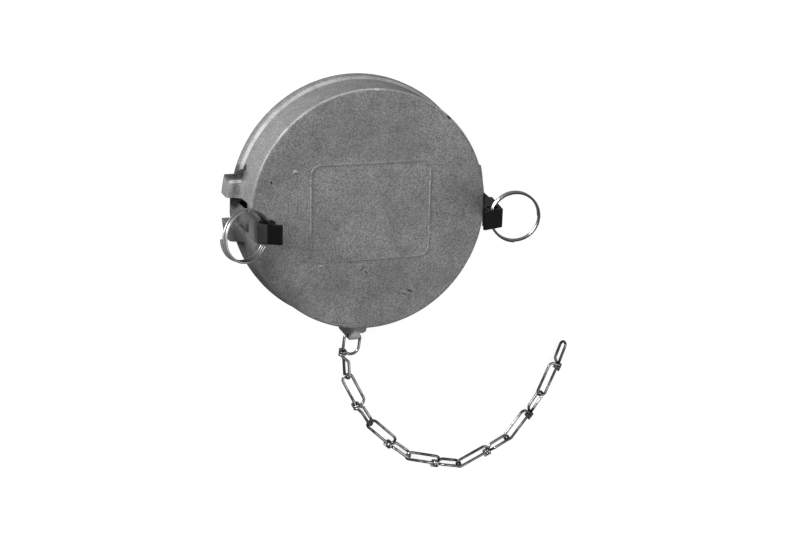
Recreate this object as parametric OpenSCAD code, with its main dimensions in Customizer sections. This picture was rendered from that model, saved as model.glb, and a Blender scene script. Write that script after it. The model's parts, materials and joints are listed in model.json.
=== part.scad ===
// Adapter dust cap: a cast cap that closes the nose of a grooved hose adapter. Two cam levers
// swing out to free it, each with a split pull ring, and a knotted wire chain keeps it on the hose.
// The cap rests on its open mouth, at z = 0, with the chain lying beside it.

/* [Cap] */
// Radius of the bore that takes the adapter's nose
bore_r = 60.2; // [57:0.1:63]
// How far the mouth of the bore is opened out
mouth_gap = 0.6; // [0.4:0.1:1.2]
// Depth of the opened mouth
mouth_h = 15.4; // [15.4:0.1:18]
// Width of the rim band round the bore
rim_w = 14.8; // [14:0.1:18]
// Height of the straight rim band
rim_h = 5.3; // [3:0.1:7]
// Thickness of the wall just above the rim's sloping shoulder
wall_foot_t = 12.5; // [11.5:0.1:13.3]
// Thickness of the wall where the round of the closed face starts
wall_top_t = 11.3; // [10:0.1:12]
// Height of the whole cap
cap_h = 35; // [33:0.5:45]
// Round between the wall and the closed face
face_round = 1.7; // [0.5:0.1:3]
// Thickness of the closed face
face_t = 5; // [4:0.1:8]

/* [Face panel] */
// Width of the rounded panel on the face
panel_w = 73; // [40:1:90]
// Depth of the panel
panel_d = 58; // [30:1:80]
// Corner radius of the panel
panel_corner = 6; // [3:0.5:12]
// Width of the raised line round the panel
bead_w = 0.8; // [0.5:0.1:2]
// Height of the raised line
bead_h = 0.4; // [0.2:0.1:1]

/* [Gasket] */
// Depth of the gasket's groove below the closed face
groove_h = 6.5; // [6:0.1:8]
// How far the groove is cut into the wall
groove_depth = 1.8; // [1:0.1:2.5]
// Thickness of the gasket
gasket_t = 6.3; // [4:0.1:6.4]
// How far the gasket stands into the bore
gasket_lip = 9.4; // [4:0.1:14]
// Gap between the gasket and its groove
gasket_gap = 0.1; // [0.05:0.05:0.4]

/* [Lever ears] */
// How far the ears stand outside the rim
ear_out = 5.5; // [4:0.5:9]
// Height of the ears
ear_h = 14; // [12:0.5:18]
// Thickness of each ear
ear_t = 11; // [6:0.5:14]
// Round on the outer top edge of the ears
ear_round = 3.5; // [1:0.5:5]
// Hollow round between the ears and the wall
ear_fillet = 6; // [2:0.5:7]
// Gap on each side of a lever in its slot
lever_gap = 0.3; // [0.2:0.05:0.8]
// Height of the slot through the wall for the cam
slot_h = 22.5; // [21:0.5:24]
// Height of the shallow relief above the slot, up the outside of the wall
relief_h = 31; // [26:0.5:32]
// How far that relief lies inside the pivots
relief_in = 2; // [1.5:0.1:3]

/* [Levers] */
// How far the pivot pins lie inside the edge of the rim
pivot_in = 3; // [2:0.1:4]
// Height of the pivot pins
pivot_z = 6; // [5:0.25:7]
// Radius of a pivot pin
pin_r = 2.25; // [1.5:0.05:2.5]
// Running clearance of a lever on its pin
pin_clearance = 0.08; // [0.03:0.01:0.1]
// Clearance of a pin in the ears
pin_seat = 0.02; // [0.01:0.01:0.05]
// How far a pin's ends stand inside the ears
pin_inset = 0.5; // [0:0.1:2]
// Width of a lever at its hub
lever_w = 14.4; // [12:0.1:15]
// Width of a lever at its tip
lever_tip_w = 11; // [9:0.1:13]
// Radius of the hub
hub_r = 4.4; // [4:0.1:5]
// Radius of the cam
cam_r = 7; // [6:0.1:7.2]
// How far a cam reaches into the bore
cam_bite = 3.9; // [3:0.1:4.5]
// How far the cam's centre lies above the pivot
cam_up = 2; // [1:0.1:2.5]
// Length of a lever from its pivot to the bend at its tip
lever_l = 61; // [55:0.5:70]
// How far the heel of the arm stands outside the pivot
heel_out = 6.1; // [5:0.1:7]
// Height of the heel above the pivot
heel_up = 8.8; // [7:0.1:10]
// Thickness of the arm
arm_t = 2.9; // [2.2:0.1:3.4]
// Length of the thumb tab at the tip
tab_l = 13.5; // [12:0.5:18]
// Thickness of the tab
tab_t = 2; // [1.5:0.1:2.5]
// Angle of the tab from the line of the arm
tab_angle = 68; // [60:1:80]
// Lean of the left lever, outwards
lean_left = 2.9; // [0:0.1:4]
// Lean of the right lever, outwards
lean_right = -3; // [-3.5:0.1:4]

/* [Pull rings] */
// Mean radius of a split ring
ring_r = 14.2; // [12:0.1:18]
// Wire diameter of a split ring
ring_wire = 1.5; // [1:0.1:1.6]
// Turns in a split ring
ring_turns = 2.75; // [2:0.25:3]
// Gap between turns
ring_turn_gap = 0.1; // [0.05:0.05:0.3]
// Radius of the eye that holds the ring
eye_r = 3.4; // [3.2:0.1:3.8]
// Thickness of the metal round the eye
eye_wall = 1.9; // [1.5:0.1:2.4]
// Rise of the left ring from level, pointing outwards
ring_rise_left = 25; // [-40:1:60]
// Rise of the right ring from level, pointing outwards
ring_rise_right = 12; // [-40:1:60]

/* [Chain] */
// Wire diameter of the chain
chain_wire = 1.9; // [1.5:0.1:2]
// Distance from one crossing of two links to the next
link_pitch = 37; // [34:0.5:40]
// Distance from the lug's hole to the first crossing
first_pitch = 28.5; // [28:0.5:34]
// Width of a wide loop, between wire centres
wide_loop_w = 6.6; // [6:0.1:8]
// Width of a narrow loop, between wire centres
narrow_loop_w = 5.2; // [4.6:0.1:6]
// Length of a narrow loop, between wire centres
narrow_loop_l = 16; // [14:0.5:18]
// Wraps of wire in a knot
knot_wraps = 3; // [2:1:4]
// Gap between two links where they cross
link_gap = 0.4; // [0.3:0.05:0.6]

/* [Chain lug] */
// How far the lug's hole lies outside the rim
lug_out = 10; // [9:0.5:13]
// Radius of the hole in the lug
lug_hole_r = 2.7; // [2.6:0.1:3]
// Thickness of the lug at its hole
lug_t = 7.2; // [5:0.1:8]
// Width of the lug where it leaves the rim
lug_foot_w = 15.4; // [12:0.5:20]

/* [Hidden] */
$fn = 96;
eps = 0.01;

casting = "#8b8b8b";
blackened = "#3a3a3a";
rubber = "#2c2c2c";
bright = "#c8c8c8";
plated = "#9c9c9c";

// Cap
mouth_r = bore_r + mouth_gap;
rim_r = bore_r + rim_w;
wall_foot_r = bore_r + wall_foot_t;
wall_top_r = bore_r + wall_top_t;
shoulder_top = rim_h + rim_w - wall_foot_t;
ceiling_z = cap_h - face_t;
groove_r = bore_r + groove_depth;
groove_z = ceiling_z - groove_h;
gasket_hole_r = bore_r - gasket_lip;

// Ears and slots
ear_r = rim_r + ear_out;
pivot_x = rim_r - pivot_in;
slot_w = lever_w + 2 * lever_gap;
ear_y = slot_w / 2 + ear_t;
relief_r = pivot_x - relief_in;

// Cam, flats of the heel, eye, and the hollow in the arm as shares of the lever's length
cam_in = pivot_x - cam_r - (bore_r - cam_bite);
neck_up = 8;
flat_down = 4;
flat_in = 0.6;
flat_turn = 30;
flat_lean = 1.5;
eye_in = eye_r + eye_wall;
eye_down = 4;
hollow_low = 0.36;
hollow_high = 0.74;
hollow_low_w = 9.2;
hollow_high_w = 6.8;

// Pull rings
ring_pitch = ring_wire + ring_turn_gap;
ring_seat = 0.6;

// Chain
wire_r = chain_wire / 2;
chain_z = 4.1;
knot_r = 0.92 * chain_wire;
knot_pitch = 0.92 * chain_wire;
knot_back = 1;
narrow_skew = 4;
first_skew = 10;
first_loop_w = lug_t + chain_wire + 2.5 * link_gap;
first_corner = chain_wire;
lug_seat = lug_hole_r - wire_r - 1.5 * link_gap;
lug_y = -(rim_r + lug_out);
lug_z = chain_z;
lug_nose = chain_z;
lug_top = lug_z + lug_nose;
lug_root = lug_out - 1;
lug_corner = 2.4;
// Direction of each link, in degrees from +x, and how far its wide and its narrow loop have
// turned about the link's own line
headings = [-96, -63, -44, -16, 24, 52, 67];
rolls = [0, 0, 22, 24, 18, 10, 8];
narrow_rolls = [-20, 35, 35, 25, 12, 8, 10];

// Place and length of each link, worked out along the chain
function pitch(i) = i == 0 ? first_pitch : link_pitch;
function link_start(i) = i == 0 ? [0, lug_y - lug_seat]
    : link_start(i - 1) + pitch(i - 1) * [cos(headings[i - 1]), sin(headings[i - 1])];

// Places a lever's own frame, x outwards and z up from the pivot, on one side of the cap
module at_pivot(side, lean) {
    rotate([0, 0, side > 0 ? 0 : 180])
        translate([pivot_x, 0, pivot_z])
            rotate([0, lean, 0]) children();
}

// Half section of the cap's outside
module cap_outline() {
    polygon([[0, 0], [rim_r, 0], [rim_r, rim_h], [wall_foot_r, shoulder_top],
             [wall_top_r, cap_h - face_round], [0, cap_h - face_round]]);
    square([wall_top_r - face_round, cap_h]);
    translate([wall_top_r - face_round, cap_h - face_round]) circle(face_round);
}

// Half section of the ring that the ears are cut from
module ear_outline() {
    inner = groove_r + 2;
    translate([inner, 0]) square([ear_r - inner, ear_h - ear_round]);
    translate([inner, 0]) square([ear_r - ear_round - inner, ear_h]);
    translate([ear_r - ear_round, ear_h - ear_round]) circle(ear_round);
    difference() {
        translate([inner, ear_h - eps]) square([wall_top_r + ear_fillet - inner, ear_fillet + eps]);
        translate([wall_top_r + ear_fillet, ear_h + ear_fillet]) circle(ear_fillet);
    }
}

module ears() {
    intersection() {
        rotate_extrude() ear_outline();
        translate([-ear_r, -ear_y, 0]) cube([2 * ear_r, 2 * ear_y, cap_h]);
    }
}

// A strip w wide that ends, with round corners, out mm beyond the rim
module lug_strip(w, out) {
    translate([-w / 2, lug_corner - rim_r - out]) square([w, lug_out]);
    translate([lug_corner - w / 2, -rim_r - out]) square([w - 2 * lug_corner, lug_out]);
    for (s = [-1, 1])
        translate([s * (w / 2 - lug_corner), lug_corner - rim_r - out]) circle(lug_corner);
}
// Chain lug: a wide foot that ends in a rounded tongue, with a cross hole for the first link
module lug() {
    difference() {
        linear_extrude(lug_top) {
            lug_strip(lug_foot_w, lug_root);
            lug_strip(lug_t, lug_out + lug_nose);
        }
        translate([0, lug_y, lug_z]) rotate([0, 90, 0])
            cylinder(r = lug_hole_r, h = 2 * lug_foot_w, center = true);
        translate([0, lug_y, lug_z]) rotate([0, 90, 0]) difference() {
            translate([-lug_top, -2 * lug_nose, -lug_foot_w / 2])
                cube([2 * lug_top, 2 * lug_nose, lug_foot_w]);
            cylinder(r = lug_nose, h = lug_foot_w + 2, center = true);
        }
    }
}

// Rounded rectangle of the panel, brought in by a margin
module panel_shape(margin) {
    w = panel_w - 2 * margin;
    d = panel_d - 2 * margin;
    corner = panel_corner - margin;
    square([w, d - 2 * corner], center = true);
    square([w - 2 * corner, d], center = true);
    for (x = [-1, 1], y = [-1, 1])
        translate([x * (w / 2 - corner), y * (d / 2 - corner)]) circle(corner);
}

module cap_body() {
    color(casting) difference() {
        union() {
            rotate_extrude() cap_outline();
            ears();
            lug();
            translate([0, 0, cap_h - eps]) linear_extrude(bead_h + eps) difference() {
                panel_shape(0);
                panel_shape(bead_w);
            }
        }
        translate([0, 0, -eps]) cylinder(r = bore_r, h = ceiling_z + eps);
        translate([0, 0, -eps]) cylinder(r = mouth_r, h = mouth_h + eps);
        translate([0, 0, groove_z]) cylinder(r = groove_r, h = groove_h);
        for (side = [0, 180]) rotate([0, 0, side]) {
            translate([bore_r - groove_depth, -slot_w / 2, -eps])
                cube([ear_r, slot_w, slot_h + eps]);
            translate([relief_r, -slot_w / 2, slot_h - eps])
                cube([ear_r, slot_w, relief_h - slot_h + eps]);
            translate([pivot_x, 0, pivot_z]) rotate([90, 0, 0])
                cylinder(r = pin_r + pin_seat, h = 2 * ear_y + 2, center = true);
        }
    }
}

module gasket() {
    outer = groove_r - gasket_gap;
    color(rubber) translate([0, 0, ceiling_z - gasket_t - gasket_gap]) difference() {
        cylinder(r = outer, h = gasket_t);
        translate([0, 0, -1]) cylinder(r = gasket_hole_r, h = gasket_t + 2);
    }
}

// Side view of a lever in its own frame
module lever_side() {
    arm_in = heel_out - arm_t;
    difference() {
        union() {
            circle(hub_r);
            translate([-cam_in, cam_up]) circle(cam_r);
            polygon([[-cam_in, cam_up + cam_r], [-cam_in, cam_up - cam_r], [0, -hub_r],
                     [hub_r, 0], [heel_out, heel_up], [0, lever_l], [-arm_t, lever_l - 0.5],
                     [arm_in - 1, heel_up + neck_up], [-2, heel_up]]);
            translate([0, lever_l]) rotate(90 + tab_angle) square([tab_l, tab_t]);
            translate([-eye_in, lever_l - eye_down]) circle(eye_in);
            translate([-tab_t, lever_l - tab_t]) square([tab_t, tab_t]);
        }
        circle(pin_r + pin_clearance);
        translate([-eye_in, lever_l - eye_down]) circle(eye_r);
    }
}

// Front view of a lever: full width at the hub, tapered to the tip
module lever_front() {
    tip = lever_l + tab_l;
    polygon([[-lever_w / 2, -2 * cam_r], [lever_w / 2, -2 * cam_r], [lever_w / 2, heel_up],
             [lever_tip_w / 2, lever_l], [lever_tip_w / 2, tip],
             [-lever_tip_w / 2, tip], [-lever_tip_w / 2, lever_l], [-lever_w / 2, heel_up]]);
}

module lever() {
    low = hollow_low * lever_l - heel_up;
    high = hollow_high * lever_l - heel_up;
    arm_slope = atan2(heel_out, lever_l - heel_up);
    difference() {
        intersection() {
            rotate([90, 0, 0]) linear_extrude(lever_w, center = true) lever_side();
            rotate([90, 0, 90]) linear_extrude(4 * lever_l, center = true) lever_front();
        }
        // Hollow in the outer face of the arm
        translate([heel_out, 0, heel_up]) rotate([0, -arm_slope, 0])
            translate([-arm_t / 2, 0, 0]) rotate([90, 0, 90]) linear_extrude(heel_out)
                polygon([[-hollow_low_w / 2, low], [hollow_low_w / 2, low],
                         [hollow_high_w / 2, high], [-hollow_high_w / 2, high]]);
        // Sloping flats on both sides of the heel
        for (s = [-1, 1]) translate([heel_out + flat_in, s * flat_in, heel_up - flat_down])
            rotate([0, -flat_lean - arm_slope / 3, s * flat_turn])
                translate([0, -lever_w, -heel_up]) cube([lever_w, 2 * lever_w, lever_l / 2 + heel_up]);
    }
}

module lever_left() color(blackened) at_pivot(-1, lean_left) lever();
module lever_right() color(blackened) at_pivot(1, lean_right) lever();

module lever_pin(side) {
    length = 2 * (ear_y - pin_inset);
    color(plated) translate([side * pivot_x, 0, pivot_z]) rotate([90, 0, 0])
        cylinder(r = pin_r, h = length, center = true);
}
module lever_pin_left() lever_pin(-1);
module lever_pin_right() lever_pin(1);

// A wire of round section wound along a helix about z, as one swept solid
function coil_point(r, w, a, t, pitch) =
    let (rr = r + w * cos(t)) [rr * cos(a), rr * sin(a), a / 360 * pitch + w * sin(t)];
module wire_coil(r, w, turns, pitch, steps, sides) {
    n = round(steps * turns);
    points = [for (i = [0:n], j = [0:sides - 1])
        coil_point(r, w, i * 360 * turns / n, j * 360 / sides, pitch)];
    walls = [for (i = [0:n - 1], j = [0:sides - 1]) let (k = (j + 1) % sides)
        [i * sides + j, i * sides + k, (i + 1) * sides + k, (i + 1) * sides + j]];
    caps = [[for (j = [sides - 1:-1:0]) j], [for (j = [0:sides - 1]) n * sides + j]];
    polyhedron(points, concat(walls, caps), convexity = 6);
}

// Split ring through the eye of a lever, pointing outwards with a rise from level
module pull_ring(side, lean, rise) {
    color(bright) at_pivot(side, lean)
        translate([-eye_in, 0, lever_l - eye_down]) rotate([0, -lean - rise, 0])
            translate([ring_r - ring_seat, 0, -ring_pitch * ring_turns / 2])
                wire_coil(ring_r, ring_wire / 2, ring_turns, ring_pitch, 40, 8);
}
module pull_ring_left() pull_ring(-1, lean_left, ring_rise_left);
module pull_ring_right() pull_ring(1, lean_right, ring_rise_right);

// Bend of round wire about the origin, from +x through the given angle
module wire_bend(r, angle) {
    rotate_extrude(angle = angle) translate([r, 0]) circle(wire_r, $fn = 32);
}

// Closed loop of round wire in the xy plane: x from 0 to l between wire centres, with round ends
module round_loop(l, w) {
    r = w / 2;
    translate([r, 0, 0]) rotate([0, 0, 90]) wire_bend(r, 180);
    translate([l - r, 0, 0]) rotate([0, 0, -90]) wire_bend(r, 180);
    for (s = [-1, 1]) translate([r, s * r, 0]) rotate([0, 90, 0])
        cylinder(r = wire_r, h = l - w, $fn = 32);
}

// The same loop with a flat bar at its start, between two corners
module bar_loop(l, w, corner) {
    r = w / 2;
    flat = w - 2 * corner;
    translate([corner, flat / 2, 0]) rotate([0, 0, 90]) wire_bend(corner, 90);
    translate([corner, -flat / 2, 0]) rotate([0, 0, 180]) wire_bend(corner, 90);
    rotate([90, 0, 0]) cylinder(r = wire_r, h = flat, center = true, $fn = 32);
    translate([l - r, 0, 0]) rotate([0, 0, -90]) wire_bend(r, 180);
    for (s = [-1, 1]) translate([corner, s * r, 0]) rotate([0, 90, 0])
        cylinder(r = wire_r, h = l - r - corner, $fn = 32);
}

// Wraps of wire round one leg of a loop, as one turned shape along x
module knot() {
    length = (knot_wraps - 1) * knot_pitch;
    rotate([0, 90, 0]) rotate_extrude() {
        translate([0, -length / 2]) square([knot_r, length]);
        for (i = [0:knot_wraps - 1]) intersection() {
            translate([knot_r, i * knot_pitch - length / 2]) circle(wire_r, $fn = 32);
            translate([0, -length]) square([4 * knot_r, 2 * length]);
        }
    }
}

// One link: a level loop that starts behind the pivot, a knot on the outer side, and a narrow loop
// on edge, turned further by a twist, that ends at the next pivot
module chain_link(l, w, hook, twist) {
    knot_x = l - narrow_loop_l;
    skew = hook > 0 ? narrow_skew : first_skew;
    translate([-hook, 0, 0])
        if (hook > 0) round_loop(knot_x + hook, w);
        else bar_loop(knot_x, w, first_corner);
    translate([knot_x - knot_back, -w / 2, 0]) knot();
    translate([l, 0, 0]) rotate([0, 0, skew]) translate([-narrow_loop_l, 0, 0])
        rotate([90 + twist, 0, 0]) round_loop(narrow_loop_l, narrow_loop_w);
}

module chain_link_at(i) {
    p = link_start(i);
    twist = narrow_rolls[i] - rolls[i];
    color(plated) translate([p[0], p[1], chain_z]) rotate([rolls[i], 0, headings[i]])
        if (i == 0) chain_link(pitch(i), first_loop_w, 0, twist);
        else chain_link(pitch(i), wide_loop_w, chain_wire + link_gap, twist);
}
module chain_link_1() chain_link_at(0);
module chain_link_2() chain_link_at(1);
module chain_link_3() chain_link_at(2);
module chain_link_4() chain_link_at(3);
module chain_link_5() chain_link_at(4);
module chain_link_6() chain_link_at(5);
module chain_link_7() chain_link_at(6);

cap_body();
gasket();
lever_left();
lever_right();
lever_pin_left();
lever_pin_right();
pull_ring_left();
pull_ring_right();
chain_link_1();
chain_link_2();
chain_link_3();
chain_link_4();
chain_link_5();
chain_link_6();
chain_link_7();
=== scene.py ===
"""Adapter dust cap: the looks of a cast cap with two cam levers, pull rings and a knotted chain."""

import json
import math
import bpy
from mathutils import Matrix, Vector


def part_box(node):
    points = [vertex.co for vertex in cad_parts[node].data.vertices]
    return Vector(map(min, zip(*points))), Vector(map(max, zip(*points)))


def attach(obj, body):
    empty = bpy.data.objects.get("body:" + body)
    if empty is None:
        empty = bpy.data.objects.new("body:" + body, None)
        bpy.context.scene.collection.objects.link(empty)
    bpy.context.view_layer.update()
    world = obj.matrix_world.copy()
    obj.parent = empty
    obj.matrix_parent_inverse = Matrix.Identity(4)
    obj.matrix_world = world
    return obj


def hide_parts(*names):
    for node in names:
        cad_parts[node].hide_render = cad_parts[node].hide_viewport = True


bl_info = {
    "name": "Adapter Dust Cap",
    "version": (1, 0, 0),
    "blender": (4, 5, 0),
    "location": "View3D > Sidebar > Dust Cap",
    "description": "Builds the finishes and the wire parts of an adapter dust cap",
    "category": "Object",
}

import bmesh
import bpy
from mathutils import Matrix, Vector

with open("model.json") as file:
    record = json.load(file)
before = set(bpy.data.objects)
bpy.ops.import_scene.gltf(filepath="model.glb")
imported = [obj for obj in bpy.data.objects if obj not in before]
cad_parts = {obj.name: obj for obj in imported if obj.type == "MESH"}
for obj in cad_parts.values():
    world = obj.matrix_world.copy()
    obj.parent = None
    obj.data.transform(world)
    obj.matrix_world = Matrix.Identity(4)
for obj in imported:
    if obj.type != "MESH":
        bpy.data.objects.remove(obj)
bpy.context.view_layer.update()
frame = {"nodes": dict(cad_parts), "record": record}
RECORD = frame["record"]
JOINT_PLACES = {joint["name"]: Vector(joint["pos_m"]) for joint in RECORD["behaviour"]["joints"]}
MOUNT_PLACES = {mount["name"]: Vector(mount["pos_m"]) for mount in RECORD["mounts"]}
MM = 0.001


def length(name, description, default):
    """A size in metres that a user may change."""
    return bpy.props.FloatProperty(
        name=name, description=description, default=default, min=0.0,
        subtype="DISTANCE", unit="LENGTH", precision=5)


def angle(name, description, degrees):
    """An angle that a user may change."""
    return bpy.props.FloatProperty(
        name=name, description=description, default=math.radians(degrees),
        subtype="ANGLE", unit="ROTATION")


def colour(name, description, default):
    """A colour that a user may change."""
    return bpy.props.FloatVectorProperty(
        name=name, description=description, default=default, min=0.0, max=1.0,
        size=3, subtype="COLOR")


def share(name, description, default, highest=1.0):
    """A plain number that a user may change."""
    return bpy.props.FloatProperty(
        name=name, description=description, default=default, min=0.0, max=highest)


class DustCapCasting(bpy.types.PropertyGroup):
    """Finish of the cast cap, its gasket and its pins."""
    metal: colour("Metal", "Colour of the cast metal", (0.295, 0.295, 0.295))
    dark_metal: colour("Hollows", "Colour in the hollows of the grain", (0.105, 0.105, 0.105))
    # Also the colour of the casting's painted highlights.
    worn_and_highlight_metal: colour("Worn edges", "Colour where the casting is rubbed bright, and of its painted highlights", (0.55, 0.55, 0.55))
    grain: length("Grain", "Size of the sand grain in the surface", 0.75 * MM)
    edge: length("Edge round", "Round that the casting's sharp edges seem to have", 0.7 * MM)
    rubber: colour("Rubber", "Colour of the gasket", (0.022, 0.022, 0.022))
    gasket_hole: length("Gasket hole", "Radius of the hole in the gasket", 50.8 * MM)
    gasket_round: length("Gasket round", "Round on the gasket's edges", 0.7 * MM)


class DustCapLevers(bpy.types.PropertyGroup):
    """Finish of the cam levers."""
    # The tabs' near black is a painted dark reflection.
    black: colour("Tab black", "Colour of the levers' tabs", (0.003, 0.003, 0.003))
    arm_left: colour("Left arm", "Colour of the left lever's arm", (0.070, 0.070, 0.070))
    # The right arm is painted darker than the left, as painted shade.
    arm_right_shaded: colour("Right arm", "Colour of the right lever's arm", (0.012, 0.012, 0.012))
    bend: length("Bend height", "Height of the bends below the tabs in the resting levers", 62.0 * MM)
    # Beyond the lip, by the bend, the tab is painted less dark.
    lip: length("Lip", "Distance from the cap's axis beyond which a tab is painted less dark",
                69.8 * MM)
    worn: colour("Worn edges", "Colour of the levers' rubbed edges", (0.26, 0.26, 0.26))
    edge: length("Edge round", "Round on the levers' edges", 0.45 * MM)


class DustCapRings(bpy.types.PropertyGroup):
    """Sizes and finish of the split pull rings."""
    bright: colour("Bright wire", "Colour of the plated rings", (0.44, 0.44, 0.44))
    radius: length("Radius", "Mean radius of a ring", 14.2 * MM)
    wire: length("Wire", "Wire diameter of a ring", 1.44 * MM)
    gap: length("Gap", "Gap between a ring's turns", 0.16 * MM)
    fan: length("Fan", "How much further apart the left ring's turns stand opposite the eye",
                0.5 * MM)
    seat: length("Seat", "How far the eye's centre lies inside the wire", 0.6 * MM)
    turns: share("Turns", "Turns of wire in a ring", 2.75, 4.0)
    rise_left: angle("Left rise", "Rise of the left ring from level", 25.0)
    rise_right: angle("Right rise", "Rise of the right ring from level", 12.0)


class DustCapChain(bpy.types.PropertyGroup):
    """Sizes and finish of the knotted chain."""
    steel: colour("Steel", "Colour of the chain's wire", (0.27, 0.27, 0.27))
    grime: colour("Grime", "Colour of the dulled patches on the chain", (0.02, 0.02, 0.02))
    wire: length("Wire", "Wire diameter of the chain", 1.84 * MM)
    gap: length("Gap", "Gap between two links where they cross", 0.46 * MM)
    wide: length("Wide loop", "Width of a wide loop between wire centres", 6.6 * MM)
    first_wide: length("First loop", "Width of the loop in the lug", 10.1 * MM)
    first_corner: length("First corner", "Corner radius of the loop in the lug", 1.9 * MM)
    narrow: length("Narrow loop", "Width of a narrow loop between wire centres", 5.2 * MM)
    narrow_long: length("Narrow length", "Length of a narrow loop between wire centres", 16.0 * MM)
    skew: angle("Skew", "Turn of a narrow loop towards the knot", 4.0)
    first_skew: angle("First skew", "Turn of the first link's narrow loop towards the knot", 10.0)
    wraps: share("Wraps", "Wraps of wire in a knot", 2.4, 4.0)


class DustCapStage(bpy.types.PropertyGroup):
    """Floor, light and camera."""
    floor: colour("Floor", "Colour of the floor", (0.38, 0.38, 0.38))
    key: share("Key light", "Power of the main lamp in watts", 35.5, 100.0)
    fill: share("Fill light", "Power of the second lamp in watts", 1.9, 100.0)
    lens: share("Lens", "Focal length of the camera in millimetres", 58.03, 300.0)


# Nodes and materials

def add(tree, kind, inputs=None, **settings):
    """Adds a node, sets its settings, and fills or links its inputs."""
    node = tree.nodes.new(kind)
    for key, value in settings.items():
        setattr(node, key, value)
    for key, value in (inputs or {}).items():
        if isinstance(value, bpy.types.NodeSocket):
            tree.links.new(value, node.inputs[key])
        else:
            node.inputs[key].default_value = value
    return node


def maths(tree, operation, first, second=0.0, clamp=False):
    """A Math node's result."""
    return add(tree, "ShaderNodeMath", {0: first, 1: second},
               operation=operation, use_clamp=clamp).outputs[0]


def blend(tree, factor, first, second):
    """A mix of two colours."""
    node = add(tree, "ShaderNodeMix", data_type="RGBA")
    for key, value in ((0, factor), (6, first), (7, second)):
        if isinstance(value, bpy.types.NodeSocket):
            tree.links.new(value, node.inputs[key])
        else:
            node.inputs[key].default_value = value if key == 0 else (*value, 1.0)
    return node.outputs[2]


def remap(tree, value, low, high, new_low=0.0, new_high=1.0):
    """A smooth clamped remap of a value."""
    return add(tree, "ShaderNodeMapRange",
               {"Value": value, 1: low, 2: high, 3: new_low, 4: new_high},
               interpolation_type="SMOOTHSTEP").outputs[0]


def noise(tree, place, scale, detail, roughness, distortion=0.0):
    """A noise texture's value."""
    return add(tree, "ShaderNodeTexNoise", {
        "Vector": place, "Scale": scale, "Detail": detail, "Roughness": roughness,
        "Distortion": distortion}).outputs["Fac"]


def vector_maths(tree, operation, first, second=(0, 0, 0)):
    """A Vector Math node's outputs."""
    return add(tree, "ShaderNodeVectorMath", {0: first, 1: second},
               operation=operation).outputs


def shader_group(name, inputs, outputs):
    """An empty shader node group with named sockets, and its two ends."""
    group = bpy.data.node_groups.new(name, "ShaderNodeTree")
    for label, kind, default in inputs:
        socket = group.interface.new_socket(label, in_out="INPUT", socket_type=kind)
        if default is not None:
            socket.default_value = default
    for label, kind in outputs:
        group.interface.new_socket(label, in_out="OUTPUT", socket_type=kind)
    given = group.nodes.new("NodeGroupInput").outputs
    result = group.nodes.new("NodeGroupOutput").inputs
    return group, given, result


def once(build):
    """Builds a node group the first time it is asked for, and then hands back the same one."""
    made = {}

    def get():
        if "group" not in made:
            made["group"] = build()
        return made["group"]
    return get


@once
def grain_group():
    """Sand grain: a tone that varies from grain to grain, and the height of the surface."""
    fine_share, patch_share, pit_share = 0.85, 0.15, 0.6
    patch_scale, pit_scale = 0.12, 0.45
    group, given, result = shader_group(
        "Sand Grain",
        [("Vector", "NodeSocketVector", None), ("Grain Size", "NodeSocketFloat", 0.001),
         ("Pitting", "NodeSocketFloat", 0.5)],
        [("Tone", "NodeSocketFloat"), ("Height", "NodeSocketFloat")])
    per_metre = maths(group, "DIVIDE", 1.0, given["Grain Size"])
    fine = noise(group, given["Vector"], per_metre, 3.0, 0.65)
    patches = noise(group, given["Vector"], maths(group, "MULTIPLY", per_metre, patch_scale),
                    3.0, 0.55)
    cells = add(group, "ShaderNodeTexVoronoi", {
        "Vector": given["Vector"], "Scale": maths(group, "MULTIPLY", per_metre, pit_scale)})
    pits = maths(group, "MULTIPLY", remap(group, cells.outputs["Distance"], 0.28, 0.08),
                 given["Pitting"])
    tone = maths(group, "ADD", maths(group, "MULTIPLY", fine, fine_share),
                 maths(group, "MULTIPLY", patches, patch_share))
    tone = remap(group, tone, 0.33, 0.67)
    group.links.new(
        maths(group, "SUBTRACT", tone, maths(group, "MULTIPLY", pits, pit_share), True),
        result["Tone"])
    group.links.new(maths(group, "SUBTRACT", fine, pits), result["Height"])
    return group


@once
def edge_wear_group():
    """Edge wear: a mask on sharp edges, broken up by noise, and the rounded normal."""
    flat, sharp, break_scale = 0.995, 0.90, 260.0
    group, given, result = shader_group(
        "Edge Wear",
        [("Vector", "NodeSocketVector", None), ("Width", "NodeSocketFloat", 0.0006),
         ("Amount", "NodeSocketFloat", 1.0)],
        [("Mask", "NodeSocketFloat"), ("Normal", "NodeSocketVector")])
    rounded = add(group, "ShaderNodeBevel", {"Radius": given["Width"]}, samples=6).outputs[0]
    straight = add(group, "ShaderNodeNewGeometry").outputs["Normal"]
    turn = vector_maths(group, "DOT_PRODUCT", rounded, straight)["Value"]
    broken = remap(group, noise(group, given["Vector"], break_scale, 4.0, 0.7), 0.40, 0.62)
    edge = maths(group, "MULTIPLY", remap(group, turn, flat, sharp), broken)
    group.links.new(maths(group, "MULTIPLY", edge, given["Amount"], True), result["Mask"])
    group.links.new(rounded, result["Normal"])
    return group


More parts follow.
